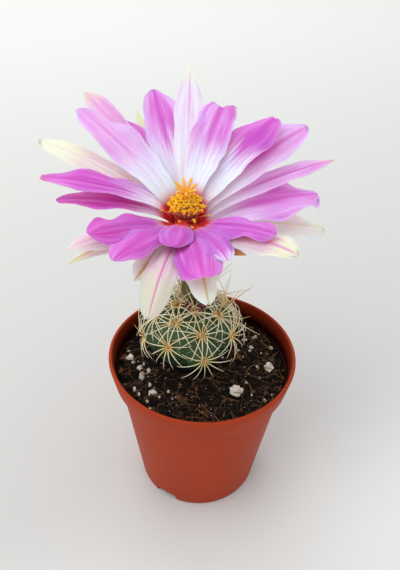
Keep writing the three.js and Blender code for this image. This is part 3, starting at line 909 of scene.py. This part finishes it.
def tube_frame(share):
    """Middle of the tube at a share of its length, with the ways right, back and along it."""
    step = 0.01
    along = unit(tube_path(min(share + step, 1)) - tube_path(max(share - step, 0)))
    right = unit(np.array([1.0, 0, 0]) - along * along[0])
    return tube_path(share), right, np.cross(along, right), along


def tube_ring(share, radius, turns):
    middle, right, back, _ = tube_frame(share)
    return middle + radius * (np.outer(np.cos(turns), right) + np.outer(np.sin(turns), back))


def make_tube():
    """The green tube, open at the top into a red throat, with its scales."""
    rings, cup, sides = 46, 14, 40
    turns = round_angles(sides)
    shares = [i / (rings - 1) for i in range(rings)]
    points = [tube_ring(share, tube_radius_at(share) * (0.75 + 0.25 * min(1, share * 12)), turns)
              for share in shares]
    for i in range(cup):
        share = 1 - (i / (cup - 1)) * THROAT_DEPTH / TUBE_LENGTH
        points.append(tube_ring(share, tube_radius_at(share) - TUBE_WALL, turns))
    ups = np.repeat(shares + [1.0] * cup, sides)
    start, stop = rings * sides, (rings + cup) * sides
    faces = grid_faces(rings, sides, wrap=True)
    faces.append(list(range(sides))[::-1])
    faces += grid_faces(cup, sides, wrap=True, start=start)
    for i in range(sides):
        j = (i + 1) % sides
        faces.append([start - sides + i, start - sides + j, start + j, start + i])
    faces.append(list(range(stop - sides, stop)))
    shape = Shape().add(np.concatenate(points), faces, up=ups, edge=0)
    scales_on_tube(shape)
    tube = piece("tube_and_scales", shape, tube_look(), ["flower_tube"])
    tube.data.materials.append(throat_look())
    for polygon in tube.data.polygons:
        if all(start <= v < stop for v in polygon.vertices):
            polygon.material_index = 1


def scales_on_tube(shape):
    """Pointed scales in a spiral, pressed to the tube and opening towards their tips."""
    rows, columns = 9, 7
    for k in range(TUBE_SCALES):
        share = 0.05 + 0.8 * k / TUBE_SCALES
        around = k * GOLDEN_ANGLE
        length = 3.0 + 3.6 * share
        half = 1.0 + 0.5 * share
        middle, right, back, along = tube_frame(share)
        points, edges = [], []
        for layer in (0, 1):
            for r in range(rows):
                s = r / (rows - 1)
                for c in range(columns):
                    u = -1 + 2 * c / (columns - 1)
                    width = half * (1 - s ** 1.6) + 0.05
                    radius = tube_radius_at(share) + 0.12
                    radius += 0.2 * s + 0.9 * s ** 3 + 0.13 * layer * (1 - 0.7 * abs(u))
                    turn = around + u * width / radius
                    out = math.cos(turn) * right + math.sin(turn) * back
                    points.append(middle + out * radius + along * (s * length - 0.4))
                    edges.append(max(abs(u), s))
        faces = grid_faces(rows, columns, start=rows * columns)
        faces += grid_faces(rows, columns, flip=True)
        faces += rim_faces(rows, columns)
        shape.add(points, faces, up=share, edge=edges)


WHITE = dict(main="#f3dff0", deep="#e9bfe6", pale="#fbf4f8")
LILAC = dict(main="#e3a0e6", deep="#d06fd2", pale="#f1cdf3")
PALE_LILAC = dict(main="#e6b2e8", deep="#dc92dd", pale="#f3d8f5")
BLUSH_LILAC = dict(main="#ecb4dc", deep="#e295d4", pale="#f5d6e2")
ORCHID = dict(main="#d067cf", deep="#bd3fba", pale="#e195e0")
MAGENTA = dict(main="#cb54c5", deep="#b530aa", pale="#da7cd6")
CREAM = dict(main="#f2e4e0", deep="#e8cbd2", pale="#faf6ec")
IVORY = dict(main="#f6f0e8", deep="#eee4dc", pale="#fbf8f2")
BLUSH = dict(main="#ecc9d6", deep="#dcabc6", pale="#f4ece8")

# name: where the frame has the blade, its look, and how it is drawn otherwise than in the frame.
# Frame: ring, azimuth, length, width, blade angle above level, droop of the tip.
# Look: colours, share that stays white, where the tip colour starts, tip colour, midrib's share of
# the half width, midrib colour, tip shape, depth of the edge waves.
# Drawn: seat is its ring, wide and long are factors, turn, lift and bend are added to the azimuth,
# the blade angle and the droop, open makes it leave the throat flatter, arch drops its sides and
# curl turns its tip up, in degrees.
BLADES = {
    "petal_back_tall": ((1, 91, 43, 7, 19, 6),
        (WHITE, 0.5, 0.78, "#f5eed8", 0.12, "#e3a0e2", "point", 0.06), dict(wide=1.2)),
    "petal_back_left": ((2, 106, 39, 8, 18, 7),
        (LILAC, 0.5, 0.97, "#d98fdc", 0.3, "#c640c4", "round", 0.14), dict(wide=1.4, turn=1)),
    "sepal_back_left": ((5, 112, 44, 6, 9, 7),
        (CREAM, 0.3, 0.7, "#dfe0bc", 0.2, "#d5dab0", "point", 0.04), dict()),
    "petal_folded_tip": ((4, 121, 37, 7.5, 9, 8),
        (ORCHID, 0.62, 0.98, "#d277d2", 0.3, "#c850c8", "blunt", 0.1),
        dict(seat=3.2, wide=1.6, long=1.03, turn=2)),
    "petal_left_long_upper": ((3, 130, 49, 7.5, 13, 9),
        (BLUSH_LILAC, 0.4, 0.84, "#f3d0bc", 0.16, "#df8cdc", "blunt", 0.1), dict(wide=0.9)),
    "petal_left_frilled": ((1, 139, 40, 9, 16, 11),
        (PALE_LILAC, 0.4, 0.97, "#ecc0ee", 0.2, "#d67fd6", "frill", 0.14), dict(wide=1.25, turn=1)),
    "petal_left_cream": ((3, 152, 47, 6.5, 7, 13),
        (CREAM, 0.2, 0.6, "#f1e8d2", 0.1, "#efcfd8", "round", 0.1), dict(wide=1.1)),
    "petal_left": ((1, 171, 37, 6.5, 7, 16),
        (ORCHID, 0.3, 0.88, "#c9608f", 0.2, "#b636b0", "tooth", 0.14), dict(wide=1.1)),
    "petal_left_low": ((2, 173, 33, 6, 1, 18),
        (MAGENTA, 0.25, 0.97, "#d56fd4", 0.24, "#b02fa8", "round", 0.12), dict(wide=1.35)),
    "petal_left_front_pale": ((3, 216, 33, 7, 30, 34),
        (BLUSH, 0.2, 0.88, "#f2e4d6", 0.14, "#d994c4", "point", 0.1), dict(wide=1.45)),
    "sepal_left_front": ((4, 217, 33, 5, 25, 35),
        (CREAM, 0.15, 0.8, "#e4d8b8", 0.3, "#b0a86e", "point", 0.04), dict()),
    "petal_left_front": ((1, 221, 29, 8, 37, 36),
        (MAGENTA, 0.12, 0.96, "#e795e6", 0.24, "#aa2aa2", "round", 0.14),
        dict(seat=1.5, wide=1.25, long=0.95, lift=-2, bend=-12, turn=-1, open=21)),
    "petal_front_left": ((0, 246, 31, 8.5, 39, 49),
        (ORCHID, 0.08, 0.93, "#f0b4ee", 0.26, "#ba30ae", "round", 0.14),
        dict(seat=0.9, wide=0.98, long=0.98, lift=-2, bend=-19, turn=-4, open=29)),
    "sepal_front_left": ((4, 245, 27, 6, 33, 27),
        (IVORY, 0.15, 1.0, "#a8823a", 0.4, "#a8a44c", "point", 0.04), dict(wide=1.5, long=1.06, turn=3)),
    "petal_front_short": ((1, 263, 22, 7.5, 41, 52),
        (MAGENTA, 0.04, 0.98, "#d56fd4", 0.2, "#cc48c4", "round", 0.04),
        dict(seat=0.0, wide=1.1, long=0.81, lift=-1, bend=-21, turn=1, open=32, arch=0.18)),
    "petal_front_hanging": ((3, 261, 39, 9.5, 33, 55),
        (BLUSH, 0.1, 0.58, "#d3ccbe", 0.1, "#cf50b0", "round", 0.1), dict(wide=0.82, turn=0.5)),
    "petal_front": ((0, 281, 31, 9, 41, 56),
        (ORCHID, 0.06, 0.95, "#e5a2e4", 0.22, "#bb2cae", "blunt", 0.12),
        dict(seat=1.2, wide=1.2, long=0.96, lift=-2, bend=-15, open=31, curl=30)),
    "sepal_front": ((4, 282, 33, 6, 39, 56),
        (CREAM, 0.1, 0.55, "#f2eee0", 0.2, "#bfb868", "round", 0.05), dict(wide=1.2)),
    "petal_front_right_short": ((1, 296, 25, 7, 35, 52),
        (ORCHID, 0.06, 0.8, "#f3cdf0", 0.2, "#c23cb8", "frill", 0.14),
        dict(seat=0.7, wide=1.35, long=0.89, lift=-2, bend=-20, turn=1, open=29)),
    "sepal_front_right": ((4, 310, 25, 4, 30, -3),
        (CREAM, 0.1, 0.6, "#9a6a2a", 0.6, "#8f7434", "point", 0.02), dict()),
    "petal_right_front": ((1, 326, 28, 7.5, 35, 40),
        (ORCHID, 0.08, 0.94, "#e9aee8", 0.24, "#ba30ae", "round", 0.14),
        dict(seat=1.4, wide=1.05, long=0.91, lift=-2, bend=-17, turn=1, open=18)),
    "petal_right_front_cream": ((3, 324, 34, 6.5, 30, 26),
        (BLUSH, 0.15, 0.72, "#f1e0c8", 0.2, "#d87cc0", "round", 0.12), dict(wide=1.4, turn=-1)),
    "petal_right_cream": ((5, 13, 39, 9, -13, 15),
        (IVORY, 0.25, 0.85, "#e9e8c8", 0.12, "#e4e2b4", "round", 0.1), dict(wide=1.2, lift=2)),
    "petal_right_toothed": ((4, 21, 37, 9.5, -2, 14),
        (LILAC, 0.36, 0.97, "#e0a0e2", 0.25, "#cf5fce", "tooth", 0.16), dict(wide=1.5, lift=3)),
    "petal_right_narrow": ((3, 30, 45, 5.5, 3, 11),
        (PALE_LILAC, 0.35, 0.84, "#f0b8b4", 0.24, "#c64cc4", "point", 0.1), dict(wide=1.2)),
    "petal_right_back": ((2, 41, 42, 8, 11, 10),
        (PALE_LILAC, 0.42, 0.97, "#e2b0e6", 0.24, "#cf6ccf", "round", 0.12), dict(wide=1.45, turn=1)),
    "petal_back_right": ((1, 50, 35, 8, 16, 8),
        (ORCHID, 0.54, 0.97, "#e0a0e0", 0.42, "#c436be", "tooth", 0.12), dict(wide=1.35)),
    "petal_back_right_low": ((3, 60, 32, 6, 2, 7),
        (BLUSH, 0.45, 0.9, "#e9dcc8", 0.12, "#d9a8c4", "point", 0.05), dict()),
    "petal_back_notched": ((0, 71, 34, 8, 18, 6),
        (LILAC, 0.46, 0.98, "#da8edc", 0.26, "#c858c8", "notch", 0.12), dict(wide=1.25, long=0.93, turn=4)),
}

# tip shape: share where narrowing starts, two powers, width left at the end, depth of the teeth
TIPS = {
    "point": (0.55, 1.8, 0.85, 0.05, 0.0),
    "round": (0.62, 2.6, 0.55, 0.12, 0.02),
    "blunt": (0.62, 3.0, 0.5, 0.2, 0.01),
    "notch": (0.78, 3.5, 0.4, 0.75, 0.045),
    "tooth": (0.68, 3.0, 0.5, 0.35, 0.035),
    "frill": (0.6, 2.4, 0.6, 0.3, 0.035),
}


def petal_line(ring, seat, azimuth, length, blade, droop, opened, curl, drift):
    """The middle of a petal: it rises from the throat, flattens out and droops.

    Gives its points, with its rise and heading in radians at each.
    """
    depth = FIRST_RING_DROP + seat * RING_STEP
    foot = tube_radius(depth) + FIT_GAP + PETAL_SEAT
    steep = INNER_THROAT_ANGLE - RING_ANGLE_STEP * ring - opened
    flare = 0.16 + 0.012 * ring
    share = np.linspace(0, 1, 241)
    rise = blade + (steep - blade) * np.exp(-share / flare) - droop * share ** 2
    rise = np.radians(rise + curl * np.clip((share - 0.8) / 0.2, 0, 1) ** 1.5)
    heading = math.radians(azimuth) + drift * (share ** 2 - share)
    level = np.cos(rise)
    course = np.stack([level * np.cos(heading), level * np.sin(heading), np.sin(rise)], 1)
    start = np.array([foot * math.cos(heading[0]), foot * math.sin(heading[0]), -depth])
    steps = (course[1:] + course[:-1]) / 2 * length / (len(share) - 1)
    return np.concatenate([[start], start + np.cumsum(steps, 0)]), rise, heading


def petal_outline(rng, number, width, tip):
    """Shares along and across a blade and its half width, with teeth and rough edges."""
    starts, power_a, power_b, end_width, teeth = TIPS[tip]
    s = np.linspace(0, 1, PETAL_ROWS)[:, None] ** 0.92
    u = np.linspace(-1, 1, PETAL_COLUMNS)[None, :]
    jag = np.array([rng.uniform(0, 1) for _ in range(PETAL_COLUMNS)])
    if tip == "notch":
        jag = 0.35 * jag + 1.1 * np.exp(-(u[0] / 0.4) ** 2) + 0.8 * (1 - u[0])
    along = s * (1 - teeth * jag[None, :] * np.clip((s - 0.7) / 0.3, 0, 1) ** 2)
    swell = 0.3 + 0.7 * np.sin(math.pi / 2 * np.clip(s / 0.58, 0, 1))
    end = np.clip((s - starts) / (1 - starts), 0, 1)
    narrowing = np.maximum(end_width, (1 - end ** power_a).clip(0, 1) ** power_b)
    half = width / 2 * swell * np.where(s > starts, narrowing, 1)
    skew = rng.uniform(-0.14, 0.14)
    edges = []
    for side in (-1, 1):
        rough, fine = ([noise.noise(Vector((v * scale, number * 3.7, side))) for v in s[:, 0]]
                       for scale in (7.0, 22.0))
        edges.append(1 + side * skew + 0.13 * np.array(rough) + 0.04 * np.array(fine))
    return along, u, half * np.where(u < 0, edges[0][:, None], edges[1][:, None])


def petal_shape(number, ring, azimuth, length, width, blade, droop, tip, wave, curl, seat, opened,
                arch):
    """A closed thin blade along its middle line."""
    rng = random.Random(100 + number)
    line, rise, heading = petal_line(ring, seat, azimuth, length, blade, droop, opened, curl,
                                     math.radians(rng.uniform(-5, 5)))
    along, u, half = petal_outline(rng, number, width, tip)
    spot = along * (len(line) - 1)
    low = np.clip(spot.astype(int), 0, len(line) - 2)
    part = (spot - low)[..., None]
    middle = line[low] * (1 - part) + line[low + 1] * part
    a = rise[low] * (1 - part[..., 0]) + rise[low + 1] * part[..., 0]
    h = heading[low] * (1 - part[..., 0]) + heading[low + 1] * part[..., 0]
    across = np.stack([np.sin(h), -np.cos(h), 0 * h], -1)
    normal = np.stack([-np.sin(a) * np.cos(h), -np.sin(a) * np.sin(h), np.cos(a)], -1)
    front = max(0.0, -math.sin(math.radians(azimuth)))
    twist = math.radians(rng.uniform(-16, 16)) * (1 - 0.8 * front) * along[..., None] ** 1.5
    across, normal = (np.cos(twist) * across + np.sin(twist) * normal,
                      np.cos(twist) * normal - np.sin(twist) * across)

    phase, other = rng.uniform(0, 6.3), rng.uniform(0, 6.3)
    channel = 0.16 * half * u ** 2 * (1 - 1.5 * along ** 2) * (1 - front)
    channel = channel - arch * front ** 2 * half * np.abs(u) ** 2.2
    crease = -0.12 * np.exp(-(u / 0.14) ** 2) * np.sin(math.pi * along)
    pleats = 0.06 * np.cos(u * 11 + phase) * np.sin(math.pi * along)
    sides = np.where(u > 0, np.sin(along * 15 + phase), np.sin(along * 13 + other))
    waves = 1.6 * wave * half * np.abs(u) ** 2 * sides * np.clip(along * 2 - 0.4, 0, 1)
    lift = (channel + crease + pleats + waves)[..., None]
    sheet = middle + across * (u * half)[..., None] + normal * lift
    thick = PETAL_THICKNESS * (1 - 0.65 * np.abs(u) ** 3) * (1.5 - 0.8 * along)

    upper = from_flower(sheet + normal * thick[..., None] / 2).reshape(-1, 3)
    lower = from_flower(sheet - normal * thick[..., None] / 2).reshape(-1, 3)
    count = PETAL_ROWS * PETAL_COLUMNS
    faces = grid_faces(PETAL_ROWS, PETAL_COLUMNS, flip=True)
    faces += grid_faces(PETAL_ROWS, PETAL_COLUMNS, start=count)
    faces += [face[::-1] for face in rim_faces(PETAL_ROWS, PETAL_COLUMNS)]
    return Shape().add(
        np.concatenate([upper, lower]), faces, along=np.tile(along.ravel(), 2),
        across=np.tile(np.broadcast_to(u, along.shape).ravel(), 2),
        reach=np.tile(along.ravel() * length - FIRST_RING_DROP - seat * RING_STEP, 2),
        out=np.tile(np.hypot(sheet[..., 0], sheet[..., 1]).ravel(), 2),
        seed=number * 1.7, under=np.repeat([0.0, 1.0], count))


def make_petals():
    for number, (name, (in_frame, style, drawn)) in enumerate(BLADES.items()):
        ring, azimuth, length, width, blade, droop = in_frame
        colours, white_to, tip_from, tip_colour, rib, rib_colour, tip, wave = style
        sepal = name.startswith("sepal")
        shape = petal_shape(number, ring, azimuth + drawn.get("turn", 0),
                            length * drawn.get("long", 1), width * drawn.get("wide", FULLNESS),
                            blade + drawn.get("lift", 0), droop + drawn.get("bend", 0),
                            tip, wave, drawn.get("curl", 0), drawn.get("seat", ring),
                            drawn.get("open", 0), drawn.get("arch", 0.4))
        facing = math.sin(math.radians(azimuth))
        look = petal_look(name + "_look", **colours, tip=tip_colour, white_to=white_to,
                          tip_from=tip_from, rib=rib, rib_colour=rib_colour,
                          under="#d2cfa4" if sepal else "#ecc6e8", red_to=RED_THROAT - facing)
        piece(name + "_blade", shape, look, [name], sharp=50)


def make_stamens():
    """A dome of anthers on filaments, with every fourteenth one straying out of it."""
    anthers, filaments = Shape(), Shape()
    foot = 3.5
    points = 8
    for k in range(ANTHERS):
        around = k * GOLDEN_ANGLE + draw.uniform(-0.3, 0.3)
        radius = 4.7 * math.sqrt((k + 0.5) / ANTHERS) + draw.uniform(-0.25, 0.25)
        radius *= 1 - 0.22 * max(0, -math.sin(around))
        height = 3.7 - 0.12 * radius ** 2 + draw.uniform(-0.6, 0.6)
        if k % 14 == 13:
            radius, height = 4.2 + draw.uniform(0.0, 2.2), 0.6 - draw.uniform(0.0, 1.8)
        radius = max(radius, 0.9)
        foot_radius = min(1.0 + 0.28 * radius, 2.4)
        path = []
        for i in range(points):
            t = i / (points - 1)
            r = foot_radius + (radius - foot_radius) * t ** 1.8
            path.append(spoke(around) * r + np.array([0, 0, -foot + (height + foot) * t ** 0.9]))
        path = from_flower(np.array(path))
        strand(filaments, path, 0.075, 5, along=np.linspace(0, 1, points))
        size = draw.uniform(0.22, 0.33)
        lump(anthers, path[-1], (size, size * 0.8, size * 1.5), 7, 8, 0.25, k * 1.3, random_turn())
    piece("filaments", filaments, filament_look(), ["stamens"])
    piece("anther_heads", anthers, anther_look())


def make_pistil():
    shape = Shape()
    steps = np.linspace(0, 1, 16)
    path = from_flower(np.stack([0 * steps, 0 * steps, -8 + (STYLE_TOP + 8) * steps], 1))
    strand(shape, path, 0.42 + 0.16 * steps, 14, along=steps * 0.45)
    n = 12
    t = np.linspace(0, 1, n + 1)
    radii = 0.37 * np.minimum(1, 0.85 + 0.3 * t) * np.sqrt(np.clip(1 - t ** 14, 0.04, 1))
    for k in range(STIGMA_LOBES):
        around = (k + 0.3) / STIGMA_LOBES * 2 * math.pi + draw.uniform(-0.2, 0.2)
        lift = math.radians(draw.uniform(36, 52))
        length = draw.uniform(3.6, 4.3)
        out = spoke(around)
        points = [np.array([0, 0, STYLE_TOP - 0.5]) + out * 0.2]
        for i in range(n):
            a = lift + 0.25 - 0.45 * i / n
            step = out * math.cos(a) + np.array([0, 0, math.sin(a)])
            points.append(points[-1] + step * length / n)
        strand(shape, from_flower(np.array(points)), radii, 10, along=0.5 + 0.5 * t)
    piece("style_and_stigma", shape, stigma_look(), ["pistil"])


def make_buds():
    """Small dark young buds among the spines at the foot of the tube."""
    shape = Shape()
    for azimuth, level, size in ((-50, 17, 1.5), (5, 20, 1.7), (-105, 15, 1.2), (60, 19, 1.3)):
        ray = stem_direction(azimuth, level)
        seat = stem_points(ray[None])[0][0]
        lean = unit(ray + np.array([0, 0, 0.5]))
        side = unit(np.cross(lean, [0.3, 0.9, 0.1]))
        face = np.stack([side, np.cross(lean, side), lean], 1)
        lump(shape, seat + lean * size, (size * 0.75, size * 0.75, size * 1.3), 16, 18, 0.2,
             azimuth, face, up=0.2)
        for k in range(9):
            out = face @ spoke(k * GOLDEN_ANGLE)
            base = seat + lean * size * (0.5 + 0.15 * k) + out * size * (0.72 - 0.05 * k)
            path = [base, base + lean * 0.7 + out * 0.12, base + lean * 1.3 - out * 0.05]
            strand(shape, path, [0.34, 0.26, 0.04], 8, up=[0.3, 0.6, 1.0])
    piece("young_buds", shape, bud_look())


# ---- stage ----
def make_floor():
    """A pale floor with painted light: greyer near the object, lighter towards the back and towards the
    front right, over the cast shadow.
    """
    half = FLOOR_HALF / MM
    floor = mesh_object("floor", [(-half, -half, 0), (half, -half, 0), (half, half, 0),
                                  (-half, half, 0)], [(0, 1, 2, 3)])
    look = Look("pale_floor", 0.7, specular_ior_level=0.2)
    x, y, _ = look.parts()
    # painted light: grey near the object, lighter towards the back and towards the front right, where it
    # lightens the cast shadow
    away = look.math("SUBTRACT", y, look.times(x, 0.3))
    near = look.ramp(look.noise(3, 2), (0.3, "#cacac8"), (0.7, "#cdcdcb"))
    painted_light_front_right = look.math("SUBTRACT", look.times(x, 0.6), y)
    near = look.mix(look.span(painted_light_front_right, -0.01, 0.06), near, "#dedfdd")
    look.set("Base Color", look.mix(look.span(away, -0.1, 0.6), near, "#e2e3e0"))
    floor.data.materials.append(look.material)


def soft_light(name, place, aim, size, power, colour):
    data = bpy.data.lights.new(name, "AREA")
    data.shape, data.size, data.energy, data.color = "DISK", size, power, colour
    light = placed(name, data)
    light.location = place
    light.rotation_euler = (Vector(aim) - Vector(place)).to_track_quat("-Z", "Y").to_euler()


def make_camera():
    pitch, roll, yaw = (math.radians(a) for a in (CAMERA_PITCH, CAMERA_ROLL, CAMERA_YAW))
    forward = Vector((math.sin(yaw) * math.cos(pitch), math.cos(yaw) * math.cos(pitch),
                      -math.sin(pitch)))
    level = Vector((math.cos(yaw), -math.sin(yaw), 0))
    upright = level.cross(forward)
    right = math.cos(roll) * level + math.sin(roll) * upright
    up = math.cos(roll) * upright - math.sin(roll) * level
    data = bpy.data.cameras.new("camera")
    data.sensor_width, data.lens, data.clip_start = SENSOR_WIDTH, CAMERA_LENS, CLIP_START
    camera = placed("camera", data)
    turn = Matrix((right, up, -forward)).transposed().to_4x4()
    camera.matrix_world = Matrix.Translation(CAMERA_PLACE) @ turn
    bpy.context.scene.camera = camera


def make_sky():
    world = bpy.data.worlds.new("studio")
    world.use_nodes = True
    backing = world.node_tree.nodes["Background"]
    backing.inputs["Color"].default_value = SKY_COLOUR
    backing.inputs["Strength"].default_value = SKY_STRENGTH
    bpy.context.scene.world = world


make_camera()
make_sky()
make_floor()
for light in LIGHTS:
    soft_light(*light)
bpy.context.scene.view_settings.view_transform = "Standard"

# the order stays: several of these draw from the same seeded numbers
for make in (make_pot, make_soil, make_bark, make_fibres, make_perlite, make_stem, make_spines,
             make_tube, make_buds, make_petals, make_stamens, make_pistil):
    make()
